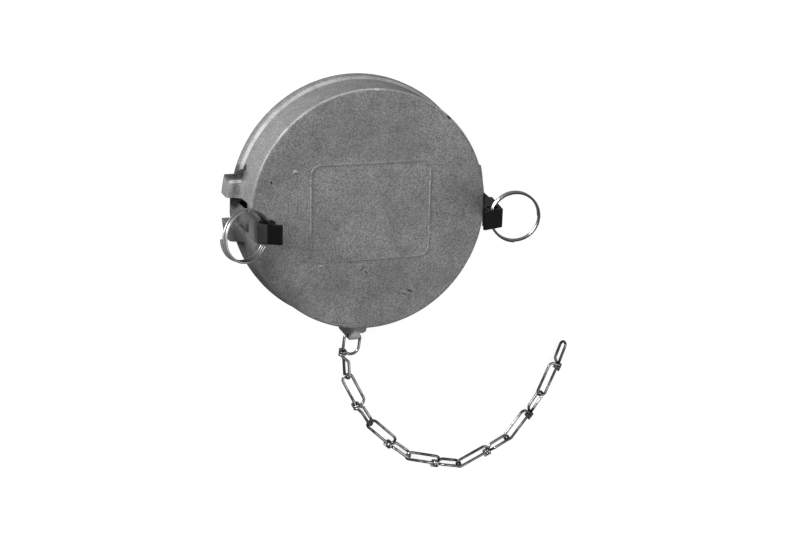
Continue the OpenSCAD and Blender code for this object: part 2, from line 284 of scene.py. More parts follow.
@once
def highlight_line_group():
    """Painted highlight line: a thin broken band along a circle about the cap's axis, fading in from
    a given y towards the lit side.
    """
    break_scale, core, fade_in = 45.0, 0.35, 45 * MM
    group, given, result = shader_group(
        "Highlight Line",
        [("Vector", "NodeSocketVector", None), ("Radius", "NodeSocketFloat", 0.07),
         ("Height", "NodeSocketFloat", 0.03), ("Width", "NodeSocketFloat", 0.001),
         ("From Y", "NodeSocketFloat", 0.0)],
        [("Mask", "NodeSocketFloat")])
    parts = add(group, "ShaderNodeSeparateXYZ", {0: given["Vector"]}).outputs
    flat = add(group, "ShaderNodeCombineXYZ", {"X": parts["X"], "Y": parts["Y"]}).outputs[0]
    aside = maths(group, "SUBTRACT", vector_maths(group, "LENGTH", flat)["Value"],
                  given["Radius"])
    above = maths(group, "SUBTRACT", parts["Z"], given["Height"])
    away = add(group, "ShaderNodeCombineXYZ", {"X": aside, "Y": above}).outputs[0]
    widths = maths(group, "DIVIDE", vector_maths(group, "LENGTH", away)["Value"],
                   given["Width"])
    broken = remap(group, noise(group, given["Vector"], break_scale, 4.0, 0.7),
                   0.30, 0.66, 0.25, 1.0)
    line = maths(group, "MULTIPLY", remap(group, widths, 1.0, core), broken)
    beyond = maths(group, "SUBTRACT", parts["Y"], given["From Y"])
    group.links.new(maths(group, "MULTIPLY", line, remap(group, beyond, 0.0, fade_in), True),
                    result["Mask"])
    return group


@once
def mark_group():
    """One nick, pit, painted highlight or patch of painted shade: a ragged oval spot at a place on
    the surface.
    """
    rag_scale, rag_depth, rim = 900.0, 0.9, 1.15
    group, given, result = shader_group(
        "Ragged Spot",
        [("Vector", "NodeSocketVector", None), ("Centre", "NodeSocketVector", (0, 0, 0)),
         ("Half Size", "NodeSocketVector", (0.001, 0.001, 0.001)),
         ("Turn", "NodeSocketFloat", 0.0), ("Softness", "NodeSocketFloat", 0.4)],
        [("Mask", "NodeSocketFloat")])
    away = vector_maths(group, "SUBTRACT", given["Vector"], given["Centre"])[0]
    turned = add(group, "ShaderNodeVectorRotate", {"Vector": away, "Angle": given["Turn"]},
                 rotation_type="Z_AXIS").outputs[0]
    scaled = vector_maths(group, "DIVIDE", turned, given["Half Size"])[0]
    rag = maths(group, "MULTIPLY", noise(group, given["Vector"], rag_scale, 3.0, 0.7), rag_depth)
    ragged = maths(group, "ADD", vector_maths(group, "LENGTH", scaled)["Value"], rag)
    past = maths(group, "DIVIDE", maths(group, "SUBTRACT", ragged, rim), given["Softness"])
    group.links.new(remap(group, past, 1.0, 0.0), result["Mask"])
    return group


@once
def scuff_group():
    """Scuffs: thin broken lines in many directions, and soft patches of dullness."""
    patch_scale = 0.25
    group, given, result = shader_group(
        "Scuffs",
        [("Vector", "NodeSocketVector", None), ("Scale", "NodeSocketFloat", 300.0)],
        [("Lines", "NodeSocketFloat"), ("Patches", "NodeSocketFloat")])
    stretched = add(group, "ShaderNodeMapping", {
        "Vector": given["Vector"], "Rotation": (0.4, 0.3, 0.7), "Scale": (1.0, 6.0, 2.0)})
    lines = noise(group, stretched.outputs[0], given["Scale"], 4.0, 0.6, 0.4)
    patches = noise(group, given["Vector"],
                    maths(group, "MULTIPLY", given["Scale"], patch_scale), 3.0, 0.6)
    group.links.new(remap(group, lines, 0.56, 0.66), result["Lines"])
    group.links.new(remap(group, patches, 0.38, 0.62), result["Patches"])
    return group


@once
def coil_groove_group():
    """Coil groove: a mask of painted shade where the turns of a coil meet, from the coil's place and
    axes. The turns stand further apart by the fan where the coil starts."""
    axes = ("X Axis", "Y Axis", "Z Axis")
    group, given, result = shader_group(
        "Coil Groove",
        [("Vector", "NodeSocketVector", None), ("Start", "NodeSocketVector", (0, 0, 0))]
        + [(axis, "NodeSocketVector", (0, 0, 0)) for axis in axes]
        + [("Pitch", "NodeSocketFloat", 0.0016), ("Fan", "NodeSocketFloat", 0.0),
           ("Turns", "NodeSocketFloat", 2.75)],
        [("Mask", "NodeSocketFloat")])
    away = vector_maths(group, "SUBTRACT", given["Vector"], given["Start"])[0]
    across, along, level = (
        vector_maths(group, "DOT_PRODUCT", away, given[axis])["Value"] for axis in axes)
    around = maths(group, "ARCTAN2", along, across)
    fanned = maths(group, "ADD", 0.5, maths(
        group, "MULTIPLY", 0.5, maths(group, "COSINE", around)))
    pitch = maths(group, "ADD", given["Pitch"], maths(group, "MULTIPLY", given["Fan"], fanned))
    middle = maths(group, "MULTIPLY", given["Turns"], 0.5)
    from_middle = maths(group, "SUBTRACT", level,
                        maths(group, "MULTIPLY", given["Pitch"], middle))
    turns = maths(group, "ADD", maths(group, "DIVIDE", from_middle, pitch), middle)
    turns = maths(group, "SUBTRACT", turns, maths(group, "DIVIDE", around, 2 * math.pi))
    off = maths(group, "ABSOLUTE", maths(group, "SUBTRACT", maths(group, "FRACT", turns), 0.5))
    group.links.new(remap(group, off, 0.20, 0.06), result["Mask"])
    return group


def new_material(name):
    """A material with a Principled BSDF, and the Object coordinates that its nodes read."""
    material = bpy.data.materials.new(name)
    material.use_nodes = True
    tree = material.node_tree
    shader = tree.nodes["Principled BSDF"]
    place = add(tree, "ShaderNodeTexCoord").outputs["Object"]
    return material, tree, shader, place


def use_group(tree, group, inputs):
    """Places a node group in a material and gives back its outputs."""
    return add(tree, "ShaderNodeGroup", inputs, node_tree=group).outputs


def bump(tree, height, distance, strength=1.0, normal=None):
    """The normal of a Bump node."""
    inputs = {"Height": height, "Distance": distance, "Strength": strength}
    if normal is not None:
        inputs["Normal"] = normal
    return add(tree, "ShaderNodeBump", inputs).outputs["Normal"]


# Nicks and pits in the casting, and two painted highlights on the lug's nose and along the upper
# ear's fillet: centre and half size in mm, turn in degrees, and whether bright
CASTING_MARKS = [
    ((-45.6, 25.8, 35.0), (1.5, 1.2, 1.0), 20, True),
    ((-45.0, 24.8, 35.0), (0.7, 0.5, 1.0), 20, False),
    ((-59.2, 20.2, 35.0), (0.6, 0.8, 1.0), 0, False),
    ((-4.8, -34.2, 35.0), (2.0, 0.35, 1.0), -50, False),
    ((-2.6, -36.2, 35.0), (1.6, 0.35, 1.0), 45, False),
    ((25.2, -50.0, 35.0), (2.2, 0.5, 1.0), 27, False),
    ((21.6, -51.6, 35.0), (1.3, 0.4, 1.0), 20, False),
    ((-29.9, -30.4, 35.0), (1.8, 0.5, 1.0), 10, True),
    ((36.9, -14.6, 35.0), (0.5, 1.5, 1.0), 0, True),
    ((46.5, 53.5, 34.3), (1.6, 1.2, 1.4), 45, False),
    ((2.0, 70.8, 34.3), (1.6, 1.0, 1.4), 0, True),
    # Painted highlight: the lit nose of the lug.
    ((0.8, -87.0, 8.0), (4.2, 4.5, 4.0), 0, True),
    ((-70.0, 20.3, 8.4), (3.0, 2.6, 3.2), 20, False),
    ((-68.6, 24.3, 10.4), (1.6, 3.4, 2.6), -18, False),
    # Painted highlight: the lit band along the upper ear's fillet.
    ((-74.6, 17.1, 13.6), (5.6, 1.1, 2.4), -6, True),
]

# Painted highlight lines round the casting, along the face's edge and the rim's shoulder, fading in
# above the least y on the lit side: radius, height, half width and least y in mm
HIGHLIGHT_LINES = [(71.0, 34.5, 0.75, 5), (73.4, 7.0, 1.9, -5)]

# Painted shade on the casting: broad dark patches on the two ears, the lower-left wall and the lug's
# left side, where these lie in shade: centre and half size in mm, and how dark
CASTING_SHADE = [
    ((-78.0, -17.0, 7.0), (9.0, 8.0, 14.0), 0.75),
    ((-66.0, -32.0, 12.0), (14.0, 20.0, 26.0), 0.80),
    ((-52.0, -51.0, 14.0), (14.0, 14.0, 22.0), 0.65),
    ((-76.0, 19.0, 8.0), (7.0, 2.2, 9.0), 0.6),
    ((-7.0, -81.0, 5.0), (5.0, 7.0, 9.0), 0.85),
    ((-76.0, 21.5, 6.0), (9.0, 3.2, 12.0), 0.85),
    ((-74.0, 12.0, 14.6), (1.6, 3.2, 3.0), 0.40),
]

# Painted shade on the left lever: dark patches on the heel's side and about the hollow in the arm,
# where these lie in shade: centre and half size in mm, and how dark
LEVER_SHADE = [
    ((-75.0, 6.2, 15.0), (7.0, 3.6, 10.5), 0.92),
    ((-75.4, -2.2, 45.0), (2.2, 2.2, 4.6), 0.70),
    ((-76.6, -4.6, 36.0), (2.0, 1.4, 8.0), 0.55),
]


def in_metres(sizes):
    """Sizes given in millimetres, in metres."""
    return [size * MM for size in sizes]


def darker(tone, part):
    """A colour at a share of its brightness."""
    return [value * part for value in tone]


def nicks(tree, place, are_bright):
    """A mask of all the casting's bright nicks and painted highlights, or of all its dark nicks."""
    mask = None
    for centre, half, turn, is_bright in CASTING_MARKS:
        if is_bright == are_bright:
            spot = use_group(tree, mark_group(), {
                "Vector": place, "Centre": in_metres(centre), "Half Size": in_metres(half),
                "Turn": math.radians(turn)})["Mask"]
            mask = spot if mask is None else maths(tree, "MAXIMUM", mask, spot)
    return mask


def with_painted_shade(tree, place, tone, patches, painted_shade, softness):
    """The tone with soft patches of painted shade over it."""
    for centre, half, strength in patches:
        patch = use_group(tree, mark_group(), {
            "Vector": place, "Centre": in_metres(centre), "Half Size": in_metres(half),
            "Softness": softness})["Mask"]
        tone = blend(tree, maths(tree, "MULTIPLY", patch, strength), tone, painted_shade)
    return tone


def casting_material(look):
    """Sand-cast aluminium: grain, pits, rubbed edges and a few nicks, with painted highlights along
    the face's edge, the rim's shoulder, the lug's nose and the upper ear's fillet, and patches of
    painted shade on the ears, the lower-left wall and the lug.
    """
    dull_share, edge_share, line_share, bright_share, dark_share = 0.26, 0.75, 0.6, 0.55, 0.95
    roughness, edge_smoother, dull_rougher = 0.66, 0.22, 0.08
    relief, relief_strength, nick_depth = 0.32 * MM, 0.9, 1.6
    material, tree, shader, place = new_material("cast_aluminium")
    grain = use_group(tree, grain_group(), {
        "Vector": place, "Grain Size": look.grain, "Pitting": 0.45})
    wear = use_group(tree, edge_wear_group(), {
        "Vector": place, "Width": look.edge, "Amount": 0.5})
    dull = use_group(tree, scuff_group(), {"Vector": place, "Scale": 130.0})["Patches"]
    dark = nicks(tree, place, False)
    tone = blend(tree, grain["Tone"], look.dark_metal, look.metal)
    tone = blend(tree, maths(tree, "MULTIPLY", dull, dull_share), tone, look.dark_metal)
    tone = blend(tree, maths(tree, "MULTIPLY", wear["Mask"], edge_share), tone, look.worn_and_highlight_metal)
    # Painted shade: soft dark patches where the ears, the lower-left wall and the lug lie in shade.
    tone = with_painted_shade(tree, place, tone, CASTING_SHADE, darker(look.dark_metal, 0.35), 0.9)
    # Painted highlights along the face's edge and the rim's shoulder, on the lit side only.
    for radius, height, width, least in HIGHLIGHT_LINES:
        line = use_group(tree, highlight_line_group(), {
            "Vector": place, "Radius": radius * MM, "Height": height * MM, "Width": width * MM,
            "From Y": least * MM})["Mask"]
        tone = blend(tree, maths(tree, "MULTIPLY", line, line_share), tone, look.worn_and_highlight_metal)
    # Bright nicks, and the painted highlights on the lug's nose and the upper ear's fillet.
    tone = blend(tree, maths(tree, "MULTIPLY", nicks(tree, place, True), bright_share), tone,
                 look.worn_and_highlight_metal)
    tone = blend(tree, maths(tree, "MULTIPLY", dark, dark_share), tone,
                 darker(look.dark_metal, 0.15))
    tree.links.new(tone, shader.inputs["Base Color"])
    rough = maths(tree, "SUBTRACT", roughness,
                  maths(tree, "MULTIPLY", wear["Mask"], edge_smoother))
    tree.links.new(maths(tree, "ADD", rough, maths(tree, "MULTIPLY", dull, dull_rougher)),
                   shader.inputs["Roughness"])
    shader.inputs["Specular IOR Level"].default_value = 0.3
    shader.inputs["Metallic"].default_value = 0.35
    height = maths(tree, "SUBTRACT", grain["Height"],
                   maths(tree, "MULTIPLY", dark, nick_depth))
    tree.links.new(bump(tree, height, relief, relief_strength, wear["Normal"]),
                   shader.inputs["Normal"])
    return material


def lever_material(look, name, arm_colour, painted_shade):
    """Blackened casting: a duller arm with scuffs, rubbed edges and any given patches of painted
    shade, and a glossy tab painted near black as a painted dark reflection, less so on its outer
    strip by the bend.
    """
    black_share, grain_share, line_share, edge_share = 0.4, 0.07, 0.012, 0.8
    arm_roughness, tab_smoother, dull_rougher = 0.42, 0.20, 0.12
    lip_share, edge_metal, relief = 0.62, 0.7, 0.05 * MM
    material, tree, shader, place = new_material(name)
    grain = use_group(tree, grain_group(), {
        "Vector": place, "Grain Size": 0.5 * MM, "Pitting": 0.3})
    wear = use_group(tree, edge_wear_group(), {
        "Vector": place, "Width": 0.5 * MM, "Amount": 1.0})
    scuffs = use_group(tree, scuff_group(), {"Vector": place, "Scale": 220.0})
    parts = add(tree, "ShaderNodeSeparateXYZ", {0: place}).outputs
    # The tab's mask: the tab is painted near black as a painted dark reflection, and its outer strip
    # by the bend less so.
    inner = remap(tree, maths(tree, "ABSOLUTE", parts["X"]), look.lip + 1 * MM, look.lip,
                  lip_share, 1.0)
    upper = remap(tree, parts["Z"], look.bend - 3 * MM, look.bend + 1 * MM)
    tab = maths(tree, "MULTIPLY", upper, inner)
    arm = blend(tree, maths(tree, "MULTIPLY", scuffs["Patches"], black_share), arm_colour,
                look.black)
    arm = blend(tree, maths(tree, "MULTIPLY", grain["Tone"], grain_share), arm, look.worn)
    # Painted shade: dark patches on the arm where it lies in shade.
    arm = with_painted_shade(tree, place, arm, painted_shade, look.black, 0.6)
    # Painted dark reflection on the tab.
    tone = blend(tree, tab, arm, look.black)
    tone = blend(tree, maths(tree, "MULTIPLY", scuffs["Lines"], line_share), tone, look.worn)
    tone = blend(tree, maths(tree, "MULTIPLY", wear["Mask"], edge_share), tone, look.worn)
    tree.links.new(tone, shader.inputs["Base Color"])
    rough = maths(tree, "SUBTRACT", arm_roughness, maths(tree, "MULTIPLY", tab, tab_smoother))
    dull = maths(tree, "MULTIPLY", scuffs["Patches"], dull_rougher)
    tree.links.new(maths(tree, "ADD", rough, dull), shader.inputs["Roughness"])
    tree.links.new(maths(tree, "MULTIPLY", wear["Mask"], edge_metal), shader.inputs["Metallic"])
    shader.inputs["Specular IOR Level"].default_value = 0.05
    tree.links.new(bump(tree, grain["Height"], relief, 0.5, wear["Normal"]),
                   shader.inputs["Normal"])
    return material


def wire_material(name, bright, dull, roughness, dullness, coil=None, winding=None):
    """Metal wire: a plain metal with duller patches and fine scuffs. For a coil, given by its
    place and its winding's pitch, fan and turns, it is painted dark between the turns, as painted
    shade where they meet."""
    line_share, groove_share, dull_rougher = 0.35, 0.95, 0.25
    material, tree, shader, place = new_material(name)
    scuffs = use_group(tree, scuff_group(), {"Vector": place, "Scale": 420.0})
    worn = maths(tree, "MULTIPLY", scuffs["Patches"], dullness)
    tone = blend(tree, worn, bright, dull)
    tone = blend(tree, maths(tree, "MULTIPLY", scuffs["Lines"], line_share * dullness), tone,
                 dull)
    if coil is not None:
        # Painted shade where the ring's turns meet.
        groove = use_group(tree, coil_groove_group(), {
            "Vector": place, "Start": coil.translation, "X Axis": coil.col[0].xyz,
            "Y Axis": coil.col[1].xyz, "Z Axis": coil.col[2].xyz, **winding})["Mask"]
        tone = blend(tree, maths(tree, "MULTIPLY", groove, groove_share), tone,
                     darker(bright, 0.03))
    tree.links.new(tone, shader.inputs["Base Color"])
    shader.inputs["Metallic"].default_value = 1.0
    tree.links.new(maths(tree, "ADD", roughness, maths(tree, "MULTIPLY", worn, dull_rougher)),
                   shader.inputs["Roughness"])
    tree.links.new(bump(tree, scuffs["Lines"], 0.01 * MM, 0.2), shader.inputs["Normal"])
    return material


def rubber_material(look):
    """Moulded rubber: matte black with a fine grain and dusty patches."""
    dust, dust_share = (0.07, 0.07, 0.07), 0.25
    material, tree, shader, place = new_material("moulded_rubber")
    grain = use_group(tree, grain_group(), {
        "Vector": place, "Grain Size": 0.6 * MM, "Pitting": 0.2})
    scuffs = use_group(tree, scuff_group(), {"Vector": place, "Scale": 90.0})
    tone = blend(tree, maths(tree, "MULTIPLY", scuffs["Patches"], dust_share), look.rubber, dust)
    tree.links.new(tone, shader.inputs["Base Color"])
    shader.inputs["Roughness"].default_value = 0.72
    tree.links.new(bump(tree, grain["Height"], 0.05 * MM, 0.5), shader.inputs["Normal"])
    return material


# Meshes

def new_object(name, mesh):
    """Links a mesh to the scene as an object at the origin."""
    piece = bpy.data.objects.new(name, mesh)
    bpy.context.scene.collection.objects.link(piece)
    return piece


def stand_for(piece, body, node):
    """Makes a finished piece ride a body in place of a CAD node."""
    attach(piece, body)
    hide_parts(node)


def finished(source, name):
    """The source's evaluated shape as a plain mesh object. The source is removed."""
    depsgraph = bpy.context.evaluated_depsgraph_get()
    mesh = bpy.data.meshes.new_from_object(source.evaluated_get(depsgraph), depsgraph=depsgraph)
    mesh.name = name
    base = source.data
    source.modifiers.clear()
    bpy.data.objects.remove(source)
    bpy.data.meshes.remove(base)
    return new_object(name, mesh)


def rounded_copy(node, name, material, edge):
    """A merged copy of a CAD node with its sharp edges rounded."""
    merged_within, flat_within, sharp_from, crease_from = 1e-6, 0.4, 32, 40
    mesh = frame["nodes"][node].data.copy()
    if "custom_normal" in mesh.attributes:
        mesh.attributes.remove(mesh.attributes["custom_normal"])
    work = bmesh.new()
    work.from_mesh(mesh)
    bmesh.ops.remove_doubles(work, verts=work.verts, dist=merged_within)
    bmesh.ops.dissolve_limit(work, angle_limit=math.radians(flat_within), verts=work.verts,
                             edges=work.edges, use_dissolve_boundaries=False)
    work.to_mesh(mesh)
    work.free()
    source = new_object(name + "_work", mesh)
    rounding = source.modifiers.new("Edge round", "BEVEL")
    rounding.width = edge
    rounding.segments = 3
    rounding.limit_method = "ANGLE"
    rounding.angle_limit = math.radians(sharp_from)
    rounding.use_clamp_overlap = False
    piece = finished(source, name)
    piece.data.materials.clear()
    piece.data.materials.append(material)
    piece.data.shade_smooth()
    piece.data.set_sharp_from_angle(angle=math.radians(crease_from))
    return piece


def turned_shape(name, profile, segments, matrix, material):
    """A closed profile of radius and height pairs, turned about z and then put in place."""
    on_axis, crease_from = 1e-9, 50
    mesh = bpy.data.meshes.new(name)
    work = bmesh.new()
    rows = []
    for radius, height in profile:
        if radius < on_axis:
            rows.append([work.verts.new((0, 0, height))] * segments)
        else:
            rows.append([work.verts.new((radius * math.cos(2 * math.pi * i / segments),
                                         radius * math.sin(2 * math.pi * i / segments), height))
                         for i in range(segments)])
    closed = profile[0][0] > on_axis
    pairs = list(zip(rows, rows[1:])) + ([(rows[-1], rows[0])] if closed else [])
    for low, high in pairs:
        for i in range(segments):
            j = (i + 1) % segments
            corners = []
            for vert in (low[i], low[j], high[j], high[i]):
                if vert not in corners:
                    corners.append(vert)
            work.faces.new(corners)
    bmesh.ops.recalc_face_normals(work, faces=work.faces)
    work.transform(matrix)
    work.to_mesh(mesh)
    work.free()
    mesh.materials.append(material)
    mesh.shade_smooth()
    mesh.set_sharp_from_angle(angle=math.radians(crease_from))
    return new_object(name, mesh)


def rounded_corner(centre, radius, start, stop, steps=5):
    """Points of an arc in a turned profile."""
    return [(centre[0] + radius * math.cos(math.radians(start + (stop - start) * i / steps)),
             centre[1] + radius * math.sin(math.radians(start + (stop - start) * i / steps)))
            for i in range(steps + 1)]


@once
def wire_tree():
    """Geometry nodes: round wire of a given diameter along a path of mesh edges."""
    tree = bpy.data.node_groups.new("Wire Along Path", "GeometryNodeTree")
    face = tree.interface
    face.new_socket("Geometry", in_out="INPUT", socket_type="NodeSocketGeometry")
    wire = face.new_socket("Wire Diameter", in_out="INPUT", socket_type="NodeSocketFloat")
    wire.subtype, wire.default_value = "DISTANCE", 0.002
    sides = face.new_socket("Sides", in_out="INPUT", socket_type="NodeSocketInt")
    sides.default_value = 16
    face.new_socket("Material", in_out="INPUT", socket_type="NodeSocketMaterial")
    face.new_socket("Geometry", in_out="OUTPUT", socket_type="NodeSocketGeometry")
    given = tree.nodes.new("NodeGroupInput").outputs
    result = tree.nodes.new("NodeGroupOutput").inputs
    path = add(tree, "GeometryNodeMeshToCurve", {"Mesh": given["Geometry"]})
    radius = maths(tree, "MULTIPLY", given["Wire Diameter"], 0.5)
    section = add(tree, "GeometryNodeCurvePrimitiveCircle", {
        "Resolution": given["Sides"], "Radius": radius})
    swept = add(tree, "GeometryNodeCurveToMesh", {
        "Curve": path.outputs["Curve"], "Profile Curve": section.outputs["Curve"],
        "Fill Caps": True})
    smooth = add(tree, "GeometryNodeSetShadeSmooth", {"Geometry": swept.outputs["Mesh"]})
    real = add(tree, "GeometryNodeRealizeInstances", {"Geometry": smooth.outputs["Geometry"]})
    coated = add(tree, "GeometryNodeSetMaterial", {
        "Geometry": real.outputs["Geometry"], "Material": given["Material"]})
    tree.links.new(coated.outputs["Geometry"], result["Geometry"])
    return tree


def set_input(modifier, name, value):
    """Sets a Geometry Nodes modifier's input, found by its name and set by its identifier."""
    for item in modifier.node_group.interface.items_tree:
        if item.item_type == "SOCKET" and item.in_out == "INPUT" and item.name == name:
            modifier[item.identifier] = value
            return
    raise KeyError(name)


def wire_piece(name, path, diameter, material):
    """Round wire along a path of points, as a plain mesh."""
    sides, crease_from = 14, 60
    mesh = bpy.data.meshes.new(name + "_path")
    mesh.from_pydata([tuple(point) for point in path],
                     [(i, i + 1) for i in range(len(path) - 1)], [])
    source = new_object(name + "_work", mesh)
    modifier = source.modifiers.new("Wire", "NODES")
    modifier.node_group = wire_tree()
    set_input(modifier, "Wire Diameter", diameter)
    set_input(modifier, "Sides", sides)
    set_input(modifier, "Material", material)
    piece = finished(source, name)
    piece.data.set_sharp_from_angle(angle=math.radians(crease_from))
    return piece


def arc(centre, across, along, radius, start, stop, steps):
    """Points of an arc in the plane of two directions."""
    return [centre + across * (radius * math.cos(math.radians(start + (stop - start) * i / steps)))
            + along * (radius * math.sin(math.radians(start + (stop - start) * i / steps)))
            for i in range(steps + 1)]


def bridge(first, first_way, last, last_way, steps):
    """Points of a smooth curve between two places, leaving and arriving in given directions."""
    points = []
    for i in range(1, steps):
        t = i / steps
        points.append(first * (2 * t**3 - 3 * t**2 + 1) + first_way * (t**3 - 2 * t**2 + t)
                      + last * (3 * t**2 - 2 * t**3) + last_way * (t**3 - t**2))
    return points


def coil_path(radius, turns, pitch, fan):
    """Centre line of a coil. Its turns stand further apart by the fan where the coil starts."""
    steps_per_turn = 72
    points = []
    for i in range(int(round(turns * steps_per_turn)) + 1):
        around, turn = math.radians(360 / steps_per_turn * i), i / steps_per_turn
        spread = fan * (1 + math.cos(around)) / 2 * (turn - turns / 2)
        points.append((radius * math.cos(around), radius * math.sin(around),
                       pitch * turn + spread))
    return points


def link_path(look, long, wide, hook, corner, skew, twist):
    """Centre line of one link's wire: the knot's wraps, the narrow loop, back through the knot,
    and round the wide loop to the knot again."""
    knot_setback, core_past = 1.0 * MM, 0.4 * MM
    low_bend, high_bend = 4.2 * MM, 5.0 * MM
    steps_per_wrap, first_angle, last_angle, wrap_share = 20, 270, 138, 0.92
    aside_pull, ahead_pull, low_pull, high_pull, core_pull = 3.2, 1.5, 3.6, 4.5, 3.0
    ahead, left, up = Vector((1, 0, 0)), Vector((0, 1, 0)), Vector((0, 0, 1))
    half, small, wrap = wide / 2, look.narrow / 2, wrap_share * look.wire
    join = long - look.narrow_long
    middle = join - knot_setback
    reach = look.wraps * wrap / 2
    points = []
    steps = int(look.wraps * steps_per_wrap)
    for i in range(steps + 1):
        t = i / steps
        around = math.radians(first_angle - 360 * look.wraps * (1 - t))
        points.append(ahead * (middle - reach + 2 * reach * t)
                      + left * (wrap * math.cos(around) - half) + up * (wrap * math.sin(around)))
    turned = Matrix.Rotation(skew, 3, "Z") @ Matrix.Rotation(twist, 3, "X")
    way, rise = turned @ ahead, turned @ up
    apex = ahead * long
    low_start = apex - way * (look.narrow_long - low_bend) - rise * small
    leaving_knot = left * aside_pull * MM + ahead * ahead_pull * MM
    points += bridge(points[-1], leaving_knot, low_start, way * low_pull * MM, 8)
    points.append(low_start)
    points += arc(apex - way * small, rise, way, small, 180, 0, 16)
    high_end = apex - way * (look.narrow_long - high_bend) + rise * small
    core_start = ahead * (middle + reach + core_past) - left * half
    points.append(high_end)
    points += bridge(high_end, -way * high_pull * MM, core_start, -ahead * core_pull * MM, 8)
    points.append(core_start)
    points.append(ahead * (middle - reach) - left * half)
    if corner:
        points += arc(ahead * (corner - hook) - left * (half - corner), left, -ahead,
                      corner, 180, 90, 8)
        points += arc(ahead * (corner - hook) + left * (half - corner), left, -ahead,
                      corner, 90, 0, 8)
    else:
        points += arc(ahead * (half - hook), left, -ahead, half, 180, 0, 20)
    points += arc(ahead * (join - half), left, ahead, half, 0, last_angle, 16)
    return points


def put(path, matrix):
    """The path's points in their place on the part."""
    return [matrix @ Vector(point) for point in path]


# Operators

def scene_look(context, name):
    """The sizes and colours of one group of pieces."""
    return getattr(context.scene, "dust_cap_" + name)


class DUSTCAP_OT_casting(bpy.types.Operator):
    """Give the cast cap its grain, rubbed edges and nicks"""
    bl_idname = "dustcap.casting"
    bl_label = "Cast cap"

    def execute(self, context):
        cap = frame["nodes"]["cap_body"]
        cap.data.materials.clear()
        cap.data.materials.append(casting_material(scene_look(context, "casting")))
        return {"FINISHED"}


class DUSTCAP_OT_gasket(bpy.types.Operator):
    """Turn the gasket with rounded edges"""
    bl_idname = "dustcap.gasket"
    bl_label = "Gasket"

    def execute(self, context):
        look = scene_look(context, "casting")
        low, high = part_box("gasket")
        bottom, top, outer = low[2], high[2], (high[0] - low[0]) / 2
        hole, corner = look.gasket_hole, look.gasket_round
        profile = (rounded_corner((outer - corner, bottom + corner), corner, -90, 0)
                   + rounded_corner((outer - corner, top - corner), corner, 0, 90)
                   + rounded_corner((hole + corner, top - corner), corner, 90, 180)
                   + rounded_corner((hole + corner, bottom + corner), corner, 180, 270))
        piece = turned_shape("moulded_gasket", profile, 160, Matrix.Identity(4),
                             rubber_material(look))
        stand_for(piece, "cap", "gasket")
        return {"FINISHED"}


class DUSTCAP_OT_pins(bpy.types.Operator):
    """Turn the two pivot pins with chamfered ends"""
    bl_idname = "dustcap.pins"
    bl_label = "Pivot pins"

    def execute(self, context):
        look = scene_look(context, "chain")
        steel = wire_material("pin_steel", look.steel, look.grime, roughness=0.34, dullness=0.5)
        for side in ("left", "right"):
            low, high = (Vector(corner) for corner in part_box("lever_pin_" + side))
            radius, half = (high[2] - low[2]) / 2, (high[1] - low[1]) / 2
            chamfer, dimple, dimple_edge = 0.5 * MM, 0.4 * MM, 0.3 * MM
            end = [(0, dimple), (radius * 0.35, dimple_edge), (radius * 0.45, 0),
                   (radius - chamfer, 0), (radius, chamfer)]
            profile = ([(out, inset - half) for out, inset in end]
                       + [(out, half - inset) for out, inset in reversed(end)])
            place = Matrix.Translation((low + high) / 2) @ Matrix.Rotation(math.pi / 2, 4, "X")
            piece = turned_shape("pivot_pin_" + side, profile, 48, place, steel)
            stand_for(piece, "cap", "lever_pin_" + side)
        return {"FINISHED"}


class DUSTCAP_OT_levers(bpy.types.Operator):
    """Round the levers' edges and blacken them"""
    bl_idname = "dustcap.levers"
    bl_label = "Cam levers"

    def execute(self, context):
        look = scene_look(context, "levers")
        # The right arm's colour is painted shade; the left lever's patches are painted shade.
        for side, arm_colour, painted_shade in (("left", look.arm_left, LEVER_SHADE),
                                       ("right", look.arm_right_shaded, ())):
            black = lever_material(look, "blackened_metal_" + side, arm_colour, painted_shade)
            piece = rounded_copy("lever_" + side, "cam_lever_" + side, black, look.edge)
            stand_for(piece, "lever_" + side, "lever_" + side)
        return {"FINISHED"}


class DUSTCAP_OT_rings(bpy.types.Operator):
    """Wind the two split pull rings"""
    bl_idname = "dustcap.rings"
    bl_label = "Pull rings"

    def execute(self, context):
        look = scene_look(context, "rings")
        pitch = look.wire + look.gap
        for side, turn, rise, fan in (("left", math.pi, look.rise_left, look.fan),
                                      ("right", 0.0, look.rise_right, 0.0)):
            eye = JOINT_PLACES["ring_" + side + "_swing"]
            place = (Matrix.Translation(eye) @ Matrix.Rotation(turn, 4, "Z")
                     @ Matrix.Rotation(-rise, 4, "Y")
                     @ Matrix.Translation((look.radius - look.seat, 0, -pitch * look.turns / 2)))
            bright = wire_material("bright_wire_" + side, look.bright, darker(look.bright, 0.4),
                                   roughness=0.27, dullness=0.35, coil=place,
                                   winding={"Pitch": pitch, "Fan": fan, "Turns": look.turns})
            path = put(coil_path(look.radius, look.turns, pitch, fan), place)
            piece = wire_piece("split_ring_" + side, path, look.wire, bright)
            stand_for(piece, "ring_" + side, "pull_ring_" + side)
        return {"FINISHED"}


# Turn of each link's wide and narrow loop about the link's own line, in degrees
LINK_ROLLS = ((0, -20), (0, 35), (22, 35), (24, 25), (18, 12), (10, 8), (8, 10))


